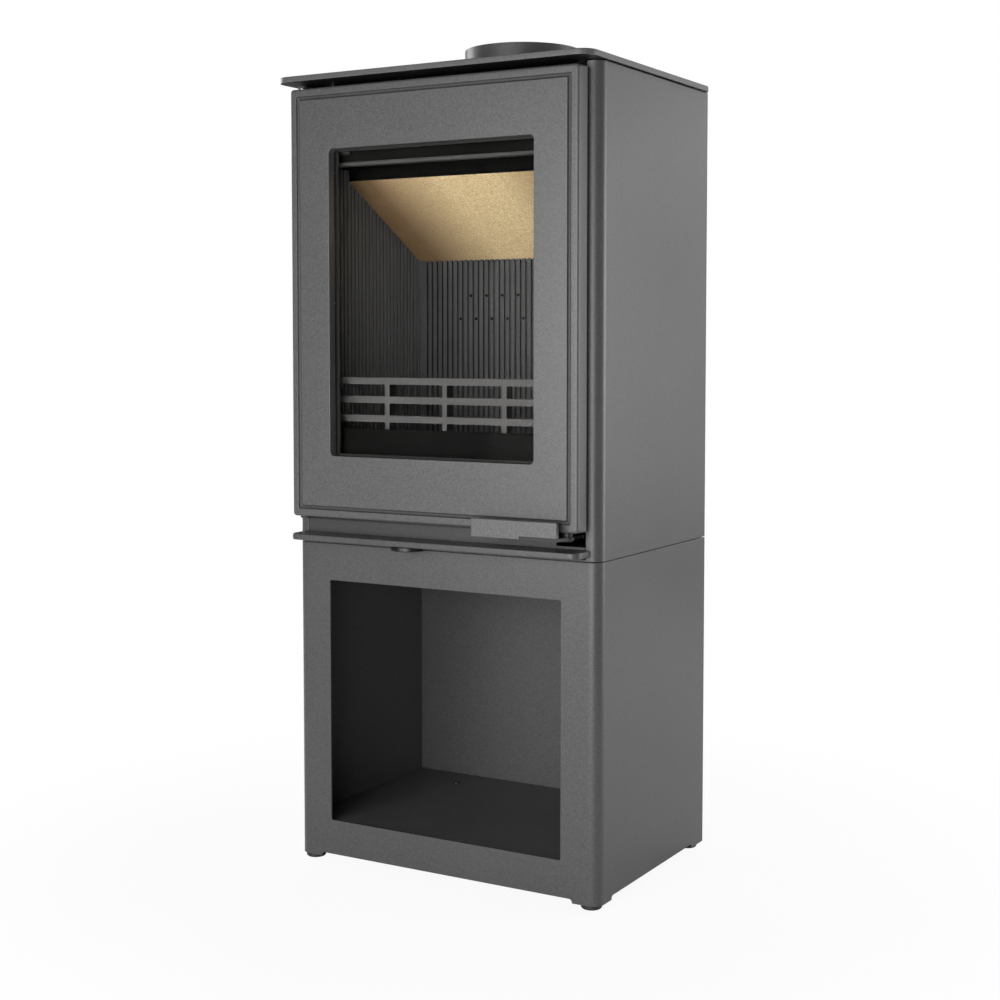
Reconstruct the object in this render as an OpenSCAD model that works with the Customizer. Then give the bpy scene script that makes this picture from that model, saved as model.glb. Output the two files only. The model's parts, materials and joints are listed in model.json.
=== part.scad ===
// Wood burning stove on a log store. Millimetres, +Z up, front towards -Y.
// Depths are measured back from the casing's front face, heights up from the floor.

/* [Casing] */
// Width of the casing
body_w = 433; // [400:1:540]
// Depth of the casing
body_d = 305; // [290:1:380]
// Outside radius of the casing's bent front edges
corner_r = 15; // [8:0.5:18]
// Thickness of the casing sheet
sheet_t = 2.5; // [2:0.1:3.5]
// Width of each side panel's return on the front, edge radius included
return_w = 18; // [18:0.5:24]
// Height of the dark joint between log store and stove
joint_gap = 1; // [0.6:0.1:3]
// Height of the stove's side panels
panel_h = 575; // [560:1:680]

/* [Log store] */
// Height of the log store's shell above the feet
store_h = 404.9; // [330:0.1:490]
// Width of the store's front face beside its opening
store_stile = 50.5; // [24:0.5:90]
// Height of the opening's lower edge above the shell's lowest edge
store_open_sill = 49.1; // [40:0.1:80]
// Height of the store's front face above its opening
store_top_band = 46.5; // [24:0.5:90]
// How far the floor lies below the opening's lower edge
store_floor_drop = 2.8; // [1:0.1:10]
// How far the back panel stands in from the casing's rear edge
store_back_inset = 18; // [12:0.5:40]
// Thickness of the base plate that joins stove and log store
base_t = 3; // [2:0.1:5]
// Length of each leg along the shell's lower edge
leg_w = 35; // [30:0.5:60]
// Rise of the shell's lower edge between the legs
leg_rise = 4.8; // [3:0.1:15]
// Radius of the corner where a leg meets the raised edge
leg_fillet_r = 4; // [1:0.1:5]

/* [Feet] */
// Radius of a levelling foot
foot_r = 12.5; // [8:0.5:16]
// Height of a levelling foot's pad
foot_h = 5.7; // [4:0.1:15]
// Distance of a foot's axis from the casing's side
foot_side = 16; // [15.5:0.5:24]
// Distance of a foot's axis from the casing's front or rear edge
foot_end = 14; // [13.5:0.5:24]
// Radius of a foot's threaded stud
stud_r = 4; // [3:0.5:6]
// Length of a foot's threaded stud
stud_h = 20; // [18:1:24]

/* [Top plate and flue] */
// Thickness of the top plate
top_t = 7; // [4:0.5:12]
// Overhang of the top plate at the front
top_front = 37; // [32:1:60]
// Overhang of the top plate at each side
top_side = 4; // [2:0.5:20]
// Overhang of the top plate at the rear
top_rear = 8; // [2:0.5:20]
// Corner radius of the top plate
top_corner_r = 20; // [6:0.5:40]
// Outside radius of the flue collar
flue_r = 75; // [60:0.5:80]
// Wall of the flue collar
flue_wall = 4; // [3:0.5:8]
// Distance of the flue collar in front of the casing's rear edge
flue_rear = 27.3; // [22:0.1:50]
// Height of the flue collar above the top plate
flue_h = 48.4; // [30:0.1:90]

/* [Door] */
// Distance of each door edge inside the casing's side
door_side = 14; // [12:0.5:18]
// Gap above the door, up to the top plate
door_top_gap = 8; // [7:0.5:14]
// Thickness of the door frame
door_t = 22; // [20:0.5:30]
// Gap between door frame and casing, filled by the rope seal
door_gap = 6; // [5:0.5:10]
// Width of the frame beside the window
stile_w = 58.25; // [50:0.25:80]
// Height of the frame below the window
bottom_rail = 77.6; // [60:0.1:110]
// Height of the frame above the window
top_rail = 76; // [60:0.1:110]
// Corner radius of the window
window_r = 5.5; // [3:0.5:20]
// Depth of the window's reveal in front of the glass
reveal_d = 12; // [8:0.5:14]
// Width of the rim outside the groove
rim_w = 9.5; // [6:0.5:20]
// Width of the groove in the door's face
groove_w = 5; // [2:0.5:10]
// Depth of the groove in the door's face
groove_d = 2; // [0.5:0.5:4]
// Thickness of the ceramic glass
glass_t = 4; // [3:0.5:5]
// Overlap of the glass behind the frame
glass_lap = 12; // [8:0.5:16]
// Width of the rope seal
rope_w = 10; // [6:0.5:12]

/* [Door hinge and handle] */
// Distance of the hinge axis inside the door's left edge
hinge_in = 12; // [9:0.5:12]
// Radius of the hinge pins
pin_r = 4; // [3:0.5:5]
// Radial running clearance of pins in their bores
pin_play = 0.08; // [0.03:0.01:0.1]
// Length of the handle's grip
grip_w = 114; // [80:1:160]
// Height of the handle's grip
grip_h = 21.7; // [16:0.1:30]
// Thickness of the handle's grip
grip_t = 6; // [4:0.5:10]
// Distance of the grip's right end inside the casing's side
grip_side = 33; // [28:0.5:60]
// Clear finger gap between grip and door
grip_gap = 10; // [8:0.5:30]
// How far the grip's lower edge hangs below the door
grip_drop = 8.7; // [6:0.1:14]
// Thickness of the handle's arm
arm_t = 4; // [3:0.5:6]
// Length of the arm's end that lies under the grip
arm_under = 49; // [30:1:75]

/* [Lower front] */
// Height of the strip between ash lip and door
strip_h = 22; // [18:0.5:40]
// Thickness of the ash lip
lip_t = 7.7; // [4:0.1:12]
// How far the ash lip stands out from the casing
lip_d = 34; // [30:0.5:60]
// Distance of each end of the ash lip inside the casing's side
lip_side = 12; // [4:0.5:40]
// Front corner radius of the ash lip
lip_r = 12; // [2:0.5:20]
// Width of the recess for the handle's arm
recess_w = 38.5; // [34:0.5:60]
// Width of the air control's knob
knob_w = 43; // [24:1:60]
// Thickness of the air control's knob
knob_t = 5.2; // [3:0.1:5.4]
// Travel of the air control
air_travel = 80; // [40:1:100]

/* [Firebox] */
// Air gap between a casing side and the firebox wall
convection_gap = 18.5; // [12:0.5:30]
// Thickness of the firebox plates
box_t = 4; // [3:0.5:6]
// Thickness of the liners
liner_t = 20; // [15:0.5:30]
// Distance of the back liner's face in front of the casing's rear edge
liner_rear = 85; // [70:1:100]
// Distance of the firebox in front of the casing's rear edge
box_rear = 20; // [16:1:30]
// Height of the hearth above the strip's top edge
hearth_up = 88; // [80:1:90]
// Thickness of the hearth
hearth_t = 35; // [20:1:40]
// Distance of the side liners' top below the window's top
liner_drop = 17.7; // [16:0.1:40]
// Pitch of the flutes in the liners
flute_pitch = 8.15; // [7:0.05:16]
// Width of a flute
flute_w = 3; // [1.5:0.1:5]
// Depth of a flute
flute_d = 2.2; // [0.5:0.1:4]
// Radius of the air holes in the back liner
air_hole_r = 2; // [1:0.25:2.5]
// Height of the upper row of air holes above the hearth
air_row_up = 193; // [120:1:200]
// Height between the two rows of air holes
air_row_gap = 31; // [16:1:50]
// Thickness of the baffle board
baffle_t = 25; // [15:1:30]
// Depth of the baffle's front edge behind the casing's front
baffle_v = 55; // [40:1:80]
// Distance of the baffle's front edge below the window's top
baffle_drop = 32; // [24:0.1:60]
// Drop of the baffle from its front edge to the back liner
baffle_fall = 94.4; // [60:0.1:120]
// Height of the sill above the hearth
sill_up = 22.6; // [10:0.1:60]
// Height of the log guard above the hearth
guard_h = 86.6; // [70:0.1:110]
// Depth of the log guard, front to back
guard_d = 14; // [6:0.5:20]
// Height of a log guard bar
guard_bar = 8.5; // [5:0.5:12]
// Pitch of the log guard's bars
guard_pitch = 23.5; // [16:0.5:26]
// Number of bars in the log guard
guard_rows = 4; // [2:1:4]
// Number of openings in each row of the log guard
guard_bays = 4; // [2:1:6]
// Distance of the deflector's lower edge below the window's top
deflector_drop = 18; // [8:0.5:30]

/* [Hidden] */
$fn = 96;
eps = 0.01;
fit = 0.3;          // clearance between loose neighbours
seat = 0.1;         // clearance between boards that rest on each other

// Casing
half_w = body_w / 2;
inner_x = half_w - sheet_t;
front_reach = max(top_front, lip_d, door_t + door_gap + grip_gap + grip_t);
front_y = -(body_d + top_rear - front_reach) / 2;

// Heights, from the floor up
shell_z = foot_h;
raised_z = shell_z + leg_rise;
store_top = shell_z + store_h;
open_z = shell_z + store_open_sill;
open_top = store_top - store_top_band;
open_x = half_w - store_stile;
floor_z = open_z - store_floor_drop;
panel_z = store_top + joint_gap;
panel_top = panel_z + panel_h;
base_top = store_top + base_t;
slide_play = 0.3;
blade_t = 2;
blade_z = base_top + slide_play;
air_floor_z = blade_z + blade_t + slide_play;
air_floor_t = 2;
lip_z = air_floor_z + 1;
lip_top = lip_z + lip_t;
strip_z = lip_top;
strip_top = strip_z + strip_h;
hearth_z = strip_top + hearth_up;
box_floor_z = hearth_z - hearth_t;
door_top = panel_top - door_top_gap;
door_z = strip_top;
roof_t = box_t;
roof_z = panel_top - 10.6;
top_z = panel_top;
flue_top = top_z + top_t + flue_h;

// Door
door_x = half_w - door_side;
door_back = -door_gap;
door_face = door_back - door_t;
window_x = door_x - stile_w;
window_z = door_z + bottom_rail;
window_top = door_top - top_rail;
gasket_t = 1;
gasket_v = door_face + reveal_d;
glass_v = gasket_v + gasket_t;
glass_x = window_x + glass_lap;
glass_z = window_z - glass_lap;
glass_top = window_top + glass_lap;
pocket_play = 2;
retainer_w = 14;
retainer_t = 3;
hinge_x = -door_x + hinge_in;
hinge_v = (door_face + door_back) / 2;
hinge_boss_r = pin_r + 2.5;
pin_in = 16;        // length of a hinge pin inside the door
bracket_t = 2.6;
bore_r = pin_r + pin_play;

// Firebox
box_x = inner_x - convection_gap;
box_in = box_x - box_t;
chamber_x = box_in - liner_t;
liner_v = body_d - liner_rear;
box_back = body_d - box_rear;
box_in_back = box_back - box_t;
liner_back = liner_v + liner_t;
liner_z = box_floor_z;
liner_top = window_top - liner_drop;
baffle_z = window_top - baffle_drop;
baffle_slope = baffle_fall / (liner_v - baffle_v);
baffle_angle = atan(baffle_slope);
baffle_len = (liner_back - baffle_v) / cos(baffle_angle);
sill_top = hearth_z + sill_up;
sill_v = box_t + 1;
sill_t = 4;
guard_v = sill_v + sill_t + 1;
guard_x = chamber_x - 0.5;
guard_post = 6.5;
frame_x = half_w - return_w - 0.5;
frame_open_z = window_z - 12;
frame_open_top = window_top + 10;
deflector_z = window_top - deflector_drop;
rope_x = chamber_x + 4.5;
rope_z = frame_open_z - 8;
rope_top = frame_open_top + 10;

// Handle
handle_x = half_w - grip_side;
handle_v = hinge_v;
grip_v = door_face - grip_gap - grip_t;
grip_z = door_z - grip_drop;
arm_z = grip_z - 0.7;
arm_top = arm_z + arm_t;
arm_w = 10;
arm_back = 18;
nose_reach = 6.5;
nose_w = 6;
recess_z = strip_z + 3.3;
recess_x = half_w - return_w - recess_w;
keeper_r = 2.5;
keeper_x = handle_x + nose_reach + keeper_r + 2;
keeper_v = arm_back - nose_w / 2;

// Air control
knob_x = -air_travel / 2;
blade_v0 = 24;
blade_v1 = 62;
inlet_w = 60;
inlet_d = 14;
inlet_v = (blade_v0 + blade_v1) / 2;
air_box_x = box_in - 46.5;

// The [low, high] pair of a width about its middle
function span(middle, width) = [middle - width / 2, middle + width / 2];

// Height of the baffle's underside at a depth
function baffle_under(v) = baffle_z - (v - baffle_v) * baffle_slope;

// A box from three [low, high] pairs: across, back from the casing's front, and up
module block(x, v, z)
    translate([x[0], front_y + v[0], z[0]])
        cube([x[1] - x[0], v[1] - v[0], z[1] - z[0]]);

// A plain box centred across the stove
module slab(half, v, z)
    block([-half, half], v, z);

// Moves children to a place given across, back from the front, and up
module at(x, v, z)
    translate([x, front_y + v, z]) children();

// Extrudes an outline seen from the front, across and up, through a depth
module front_outline(v)
    translate([0, front_y + v[1], 0])
        rotate([90, 0, 0])
            linear_extrude(v[1] - v[0]) children();

// Extrudes an outline seen from the side, back and up, through a width
module side_outline(x)
    translate([x[0], front_y, 0])
        rotate([90, 0, 90])
            linear_extrude(x[1] - x[0]) children();

// Extrudes an outline seen from above, across and back, through a height
module plan_outline(z)
    translate([0, front_y, z[0]])
        linear_extrude(z[1] - z[0]) children();

module box_2d(x, y)
    translate([x[0], y[0]]) square([x[1] - x[0], y[1] - y[0]]);

module rounded_2d(x, y, r) {
    box_2d([x[0] + r, x[1] - r], y);
    box_2d(x, [y[0] + r, y[1] - r]);
    for (cx = [x[0] + r, x[1] - r], cy = [y[0] + r, y[1] - r])
        translate([cx, cy]) circle(r);
}

// Rounds only the two corners nearest the front
module front_rounded_2d(x, y, r) {
    box_2d([x[0] + r, x[1] - r], y);
    box_2d(x, [y[0] + r, y[1]]);
    for (cx = [x[0] + r, x[1] - r])
        translate([cx, y[0] + r]) circle(r);
}

module mirror_x()
    mirror([1, 0, 0]) children();

module both_sides() {
    children();
    mirror_x() children();
}

// The bent sheet of one front edge, seen from above, on the right-hand side
module bent_edge_2d(ret) {
    box_2d([half_w - sheet_t, half_w], [corner_r, body_d]);
    box_2d([half_w - ret, half_w - corner_r], [0, sheet_t]);
    translate([half_w - corner_r, corner_r])
        intersection() {
            difference() {
                circle(corner_r);
                circle(corner_r - sheet_t);
            }
            translate([0, -corner_r]) square(corner_r);
        }
}

module pan_screw(r, h, shank) {
    cylinder(r = r, h = h);
    translate([0, 0, -shank]) cylinder(r = r / 2, h = shank + eps);
}

// ---------------------------------------------------------------- log store

// The raised stretch of a lower edge, as an outline to cut away
module raised_edge_2d(a, b) {
    box_2d([a, b], [shell_z - 1, raised_z - leg_fillet_r]);
    box_2d([a + leg_fillet_r, b - leg_fillet_r], [shell_z - 1, raised_z]);
    for (c = [a + leg_fillet_r, b - leg_fillet_r])
        translate([c, raised_z - leg_fillet_r]) circle(leg_fillet_r);
}

module store_shell() color("dimgray")
    difference() {
        plan_outline([shell_z, store_top]) {
            both_sides() bent_edge_2d(return_w);
            box_2d([-half_w + corner_r, half_w - corner_r], [0, sheet_t]);
        }
        front_outline([-1, sheet_t + 1])
            rounded_2d([-open_x, open_x], [open_z, open_top], 2);
        front_outline([-1, corner_r])
            raised_edge_2d(-half_w + leg_w, half_w - leg_w);
        side_outline([-half_w - 1, half_w + 1])
            raised_edge_2d(leg_w, body_d - leg_w);
    }

module store_back_panel() color("dimgray") {
    v = body_d - store_back_inset;
    flange = store_back_inset - 3;
    z = [foot_h + stud_h + 2, store_top - sheet_t];
    slab(inner_x, [v, v + sheet_t], z);
    both_sides()
        block([inner_x - sheet_t, inner_x], [v, v + flange], z);
}

floor_rail_v = [10, body_d - store_back_inset - 56];
floor_rail_w = 20;
floor_screw_x = inner_x - 87;

module store_floor() color("dimgray") {
    v = [sheet_t, body_d - store_back_inset];
    difference() {
        union() {
            slab(inner_x, v, [floor_z - sheet_t, floor_z]);
            slab(inner_x - corner_r, [v[0], v[0] + sheet_t], [floor_z - 17, floor_z]);
            slab(inner_x, [v[1] - sheet_t, v[1]], [floor_z - 17, floor_z]);
        }
        both_sides()
            at(floor_screw_x, floor_rail_v[1] + floor_rail_w / 2, floor_z - 5)
                cylinder(r = 2.6, h = 10);
        both_sides()
            plan_outline([floor_z - 20, floor_z + 1])
                difference() {
                    box_2d([inner_x - corner_r, inner_x + 1], [0, corner_r]);
                    translate([half_w - corner_r, corner_r]) circle(corner_r - sheet_t);
                }
    }
}

module floor_rails() color("dimgray") {
    z = [floor_z - sheet_t - 15, floor_z - sheet_t];
    for (v = floor_rail_v)
        difference() {
            slab(inner_x - corner_r, [v, v + floor_rail_w], z);
            slab(inner_x, [v + 2, v + floor_rail_w - 2], [z[0] - 1, z[1] - 2]);
            both_sides()
                at(floor_screw_x, v + floor_rail_w / 2, z[0] - 1) cylinder(r = 2.6, h = 20);
        }
}

module floor_screws() color("silver")
    both_sides()
        at(floor_screw_x, floor_rail_v[1] + floor_rail_w / 2, floor_z)
            pan_screw(4.5, 2, 12);

bolt_x = half_w - 40;
bolt_v = [50, body_d - 60];

module bolt_holes(z, r)
    both_sides()
        for (v = bolt_v)
            at(bolt_x, v, z) cylinder(r = r, h = 30, center = true);

module store_top_panel() color("dimgray") {
    z = [store_top - sheet_t, store_top];
    difference() {
        union() {
            slab(inner_x, [corner_r, body_d - 3], z);
            slab(half_w - corner_r, [sheet_t, corner_r + eps], z);
        }
        bolt_holes(store_top, 4.3);
    }
}

module foot_places()
    both_sides()
        for (v = [foot_end, body_d - foot_end])
            at(half_w - foot_side, v, 0) children();

module foot_brackets() color("dimgray") {
    size = leg_w + 6;
    difference() {
        plan_outline([raised_z, raised_z + 3])
            both_sides() {
                difference() {
                    box_2d([inner_x - size, inner_x], [sheet_t, sheet_t + size]);
                    difference() {
                        box_2d([half_w - corner_r, half_w], [0, corner_r]);
                        translate([half_w - corner_r, corner_r]) circle(corner_r - sheet_t);
                    }
                }
                box_2d([inner_x - size, inner_x], [body_d - size, body_d - 1]);
            }
        foot_places() cylinder(r = stud_r + 0.3, h = 40);
    }
}

module levelling_feet() color("black")
    foot_places() {
        cylinder(r1 = foot_r - 1.5, r2 = foot_r, h = 1.5);
        translate([0, 0, 1.5]) cylinder(r = foot_r, h = foot_h - 1.5);
        translate([0, 0, foot_h - eps]) cylinder(r = stud_r, h = stud_h);
        translate([0, 0, raised_z + 3]) cylinder(r = stud_r * 1.8, h = 6, $fn = 6);
    }

// ---------------------------------------------------------------- casing

module base_plate() color("dimgray") {
    z = [store_top, base_top];
    difference() {
        union() {
            slab(inner_x, [corner_r, body_d - 3], z);
            slab(half_w - corner_r, [sheet_t + 1, corner_r + eps], z);
        }
        bolt_holes(store_top, 4.3);
        slab(inlet_w / 2, span(inlet_v, inlet_d), [z[0] - 1, z[1] + 1]);
    }
}

module joining_bolts() color("silver")
    both_sides()
        for (v = bolt_v)
            at(bolt_x, v, base_top) {
                shank = base_t + sheet_t + 8;
                cylinder(r = 7.5, h = 5, $fn = 6);
                translate([0, 0, -shank]) cylinder(r = 4, h = shank + eps);
                translate([0, 0, -base_t - sheet_t - 6]) cylinder(r = 7.5, h = 6, $fn = 6);
            }

module side_panel()
    plan_outline([panel_z, panel_top - 1])
        bent_edge_2d(return_w);

module left_side_panel() color("dimgray")
    mirror_x() side_panel();

module right_side_panel() color("dimgray")
    side_panel();

shield_x = inner_x - fit;
shield_screw_x = box_x - 15;
shield_screw_z = [panel_z + 14, panel_z + panel_h / 2, panel_top - 20];

// Sheet across the rear, folded forward at both sides, with two rows of vent slots
module rear_heat_shield() color("dimgray") {
    v = [body_d - sheet_t, body_d];
    z = [panel_z + 2.5, panel_top - 1];
    vents = 9;
    pitch = (2 * shield_x - 60) / vents;
    difference() {
        union() {
            slab(shield_x, v, z);
            both_sides()
                block([shield_x - sheet_t, shield_x], [v[0] - 12, v[1]], z);
        }
        front_outline([v[0] - 1, v[1] + 1])
            for (k = [0 : vents - 1], row = [z[0] + 40, z[1] - 70])
                rounded_2d([-shield_x + 36 + k * pitch, -shield_x + 24 + (k + 1) * pitch],
                           [row, row + 8], 3.9);
        shield_screw_places() cylinder(r = 2.7, h = 20, center = true);
    }
}

module shield_screw_places()
    both_sides()
        for (z = shield_screw_z)
            at(shield_screw_x, body_d, z) rotate([-90, 0, 0]) children();

module heat_shield_screws() color("silver")
    shield_screw_places() pan_screw(5, 2.2, body_d - box_in_back);

module heat_shield_spacers() color("silver")
    shield_screw_places()
        translate([0, 0, box_back - body_d])
            difference() {
                cylinder(r = 6, h = body_d - sheet_t - box_back);
                translate([0, 0, -1]) cylinder(r = 2.7, h = 40);
            }

// ---------------------------------------------------------------- firebox

module firebox_wall()
    block([box_in, box_x], [box_t, box_in_back], [strip_top + fit, roof_z]);

module firebox_left_wall() color("gray")
    mirror_x() firebox_wall();

module firebox_right_wall() color("gray")
    firebox_wall();

module firebox_back_wall() color("gray")
    difference() {
        slab(box_x, [box_in_back, box_back], [strip_top + fit, roof_z]);
        shield_screw_places() cylinder(r = 2.7, h = 60, center = true);
    }

flue_v = body_d - flue_rear - flue_r;
flue_in_r = flue_r - flue_wall;

module firebox_roof() color("gray")
    difference() {
        slab(box_x, [box_t, box_back], [roof_z, roof_z + roof_t]);
        at(0, flue_v, roof_z - 1) cylinder(r = flue_in_r + 1, h = roof_t + 2);
        flue_screw_places() cylinder(r = 2.7, h = 20, center = true);
    }

module firebox_front_frame() color("gray")
    front_outline([0, box_t])
        difference() {
            box_2d([-frame_x, frame_x], [strip_top + fit, top_z - 2.6]);
            rounded_2d([-chamber_x, chamber_x], [frame_open_z, frame_open_top], 4);
        }

duct_x = chamber_x - 59.5;
duct_v = [liner_back + 1, box_in_back];

module hearth_plate() color("gray")
    difference() {
        slab(box_in, [box_t, box_in_back], [box_floor_z - box_t, box_floor_z]);
        slab(duct_x - 20, [duct_v[0] + 8, duct_v[1] - 8],
             [box_floor_z - box_t - 1, box_floor_z + 1]);
    }

// Folded tray under the hearth, with the inlet that the slide opens and shuts
module air_box() color("gray") {
    wall = air_floor_t;
    v = [lip_tongue + 1, box_in_back - 6];
    z = [air_floor_z, box_floor_z - box_t];
    difference() {
        slab(air_box_x, v, z);
        slab(air_box_x - wall, [v[0] + wall, v[1] - wall], [z[0] + wall, z[1] + 1]);
        slab(inlet_w / 2, span(inlet_v, inlet_d), [z[0] - 1, z[0] + wall + 1]);
    }
}

module air_slide_guides() color("gray") {
    z = [base_top, air_floor_z];
    reach = air_travel / 2 + 8;
    slab(air_box_x - 5, [blade_v1 + slide_play, blade_v1 + 6], z);
    both_sides()
        block([reach, air_box_x - 5], [blade_v0 - 6, blade_v0 - slide_play], z);
}

// Ridges of the back liner, counted from its middle, that each row of air holes is drilled in
air_ridges = [[2, 5, 8, 11], [1, 4, 7, 10, 13]];

module air_rows(r, v)
    both_sides()
        for (row = [0, 1])
            for (ridge = air_ridges[row])
                at(ridge * flute_pitch, v[1], hearth_z + air_row_up - row * air_row_gap)
                    rotate([90, 0, 0]) cylinder(r = r, h = v[1] - v[0], $fn = 24);

// Closed channel behind the back liner that feeds its air holes
module rear_air_duct() color("gray") {
    wall = 2;
    z = [box_floor_z, hearth_z + air_row_up + 25];
    difference() {
        slab(duct_x, duct_v, z);
        slab(duct_x - wall, [duct_v[0] + wall, duct_v[1] - wall], [z[0] - 1, z[1] - wall]);
        air_rows(air_hole_r, [duct_v[0] - 1, duct_v[0] + wall + 1]);
    }
}

// Height of a liner's sloping top, under the baffle board
function liner_slope(v) = baffle_under(v) - seat;

module side_liner() {
    v0 = box_t + fit;
    flutes = floor((liner_v - v0 - flute_pitch) / flute_pitch);
    difference() {
        side_outline([chamber_x, box_in - seat])
            polygon([[v0, liner_z + seat], [liner_back, liner_z + seat],
                     [liner_back, liner_slope(liner_back)], [baffle_v, liner_slope(baffle_v)],
                     [baffle_v - 1, liner_top], [v0, liner_top]]);
        for (k = [0 : flutes])
            block([chamber_x - 1, chamber_x + flute_d],
                  span(liner_v - 6 - k * flute_pitch, flute_w),
                  [liner_z, liner_top + 1]);
    }
}

module left_liner() color("dimgray")
    mirror_x() side_liner();

module right_liner() color("dimgray")
    side_liner();

module back_liner() color("dimgray") {
    half = chamber_x - seat;
    flutes = floor((half - flute_w) / flute_pitch);
    difference() {
        side_outline([-half, half])
            polygon([[liner_v, liner_z + seat], [liner_back, liner_z + seat],
                     [liner_back, liner_slope(liner_back)], [liner_v, liner_slope(liner_v)]]);
        for (k = [-flutes : flutes - 1])
            block(span((k + 0.5) * flute_pitch, flute_w), [liner_v - 1, liner_v + flute_d],
                  [liner_z, liner_top]);
        air_rows(air_hole_r, [liner_v - 1, liner_back + 1]);
    }
}

module hearth_brick() color("slategray")
    slab(chamber_x - 0.5, [sill_v + sill_t + fit, liner_v - fit], [liner_z + seat, hearth_z]);

// Board that lies on the sloping tops of the liners
module baffle_board() color("tan")
    at(0, baffle_v, baffle_z)
        rotate([-baffle_angle, 0, 0])
            translate([-box_in + 1.5, 0, 0])
                cube([2 * box_in - 3, baffle_len, baffle_t]);

module throat_plate() color("gray") {
    z = roof_z - 46;
    half = box_in - 34;
    v = [baffle_v + 25, box_in_back - 45];
    slab(half, v, [z, z + 3]);
    both_sides()
        block([half - 3, half], v, [z, roof_z]);
}

// Sheet behind the top of the window that sends air down over the glass
module airwash_deflector() color("gray") {
    half = chamber_x - 1;
    v = box_t + 2;
    slab(half, [v, v + 2], [deflector_z + 4, roof_z]);
    slab(half, [v - 1.5, v + 14], [deflector_z, deflector_z + 4 + eps]);
}

module deflector_brackets() color("silver")
    both_sides()
        block([window_x - 10, window_x + 6], [box_t - 1, box_t + 2],
              [window_top - 4, window_top + 3]);

module front_sill() color("gray")
    slab(chamber_x - 0.5, [sill_v, sill_v + sill_t], [liner_z + seat, sill_top]);

module log_guard() color("dimgray") {
    bay = (2 * guard_x - guard_post) / guard_bays;
    v = [guard_v, guard_v + guard_d];
    top = hearth_z + guard_h;
    difference() {
        slab(guard_x, v, [hearth_z, top]);
        front_outline([v[0] - 1, v[1] + 1])
            for (row = [0 : guard_rows - 2], k = [0 : guard_bays - 1])
                rounded_2d([-guard_x + bay * k + guard_post, -guard_x + bay * (k + 1)],
                           [top - guard_pitch * (row + 1), top - guard_pitch * row - guard_bar],
                           1.2);
    }
}

// ---------------------------------------------------------------- lower front

lip_tongue = 20;
lip_tongue_x = min(frame_x - 8, box_x - 5);

module lower_front_panel() color("dimgray")
    front_outline([0, sheet_t])
        difference() {
            box_2d([-frame_x, frame_x], [strip_z, strip_top]);
            box_2d([recess_x, frame_x + 1], [recess_z, strip_top + 1]);
        }

module ash_lip() color("dimgray") {
    plan_outline([lip_z, lip_top]) {
        x = half_w - lip_side;
        front_rounded_2d([-x, x], [-lip_d, -seat], lip_r);
        box_2d([-lip_tongue_x, lip_tongue_x], [-seat - eps, lip_tongue]);
    }
}

// Plate and post that the handle's nose turns behind
module latch_keeper() color("silver") {
    plan_outline([lip_top, lip_top + 3])
        box_2d([recess_x + 12, keeper_x + keeper_r], [sheet_t + fit, lip_tongue]);
    at(keeper_x, keeper_v, lip_top) cylinder(r = keeper_r, h = strip_top - lip_top - 1);
}

// ---------------------------------------------------------------- top and flue

module top_plate() color("dimgray")
    difference() {
        plan_outline([top_z, top_z + top_t])
            rounded_2d([-half_w - top_side, half_w + top_side],
                       [-top_front, body_d + top_rear], top_corner_r);
        at(0, flue_v, top_z - 1) cylinder(r = flue_r + 0.5, h = top_t + 2);
    }

spacer_x = box_x - 18;
spacer_v = [30, body_d - 40];

module top_plate_spacers() color("gray")
    both_sides()
        for (v = spacer_v)
            at(spacer_x, v, roof_z + roof_t)
                difference() {
                    cylinder(r = 8, h = top_z - roof_z - roof_t);
                    translate([0, 0, -1]) cylinder(r = 3.2, h = 20);
                }

flange_w = 16;
flange_t = 4;
neck_step = 1;      // how much narrower the collar is where it passes through the top plate

module flue_screw_places()
    for (a = [45 : 90 : 315])
        at((flue_r + flange_w / 2) * cos(a), flue_v + (flue_r + flange_w / 2) * sin(a),
           roof_z + roof_t) children();

module flue_collar() color("dimgray")
    difference() {
        union() {
            at(0, flue_v, roof_z + roof_t) {
                cylinder(r = flue_r + flange_w, h = flange_t);
                cylinder(r = flue_r - neck_step, h = top_z + top_t - roof_z - roof_t);
            }
            at(0, flue_v, top_z + top_t) cylinder(r = flue_r, h = flue_h);
        }
        at(0, flue_v, roof_z) cylinder(r = flue_in_r, h = flue_top);
        flue_screw_places() cylinder(r = 2.7, h = 20, center = true);
    }

module flue_collar_screws() color("silver")
    flue_screw_places()
        translate([0, 0, flange_t]) pan_screw(5, 2, flange_t + roof_t + 4);

// ---------------------------------------------------------------- hinge

module hinge_boss_2d() {
    translate([hinge_x, hinge_v]) circle(hinge_boss_r);
    box_2d([hinge_x - hinge_boss_r, hinge_x + hinge_boss_r], [hinge_v, 0]);
}

top_bracket_z = door_top + 1.6;
bottom_bracket_z = door_z - 0.3 - bracket_t;

module hinge_bracket(z)
    plan_outline([z, z + bracket_t])
        difference() {
            hinge_boss_2d();
            translate([hinge_x, hinge_v]) circle(pin_r);
        }

module hinge_bracket_top() color("black")
    hinge_bracket(top_bracket_z);

module hinge_bracket_bottom() color("black")
    hinge_bracket(bottom_bracket_z);

module hinge_pins() color("silver") {
    at(hinge_x, hinge_v, door_top - pin_in)
        cylinder(r = pin_r, h = top_bracket_z + bracket_t - door_top + pin_in);
    at(hinge_x, hinge_v, bottom_bracket_z)
        cylinder(r = pin_r, h = door_z + pin_in - bottom_bracket_z);
}

module hinge_washer() color("silver")
    at(hinge_x, hinge_v, door_top + 0.3)
        difference() {
            cylinder(r = pin_r + 2.2, h = top_bracket_z - door_top - 0.3);
            translate([0, 0, -1]) cylinder(r = bore_r, h = 10);
        }

// ---------------------------------------------------------------- door

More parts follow.
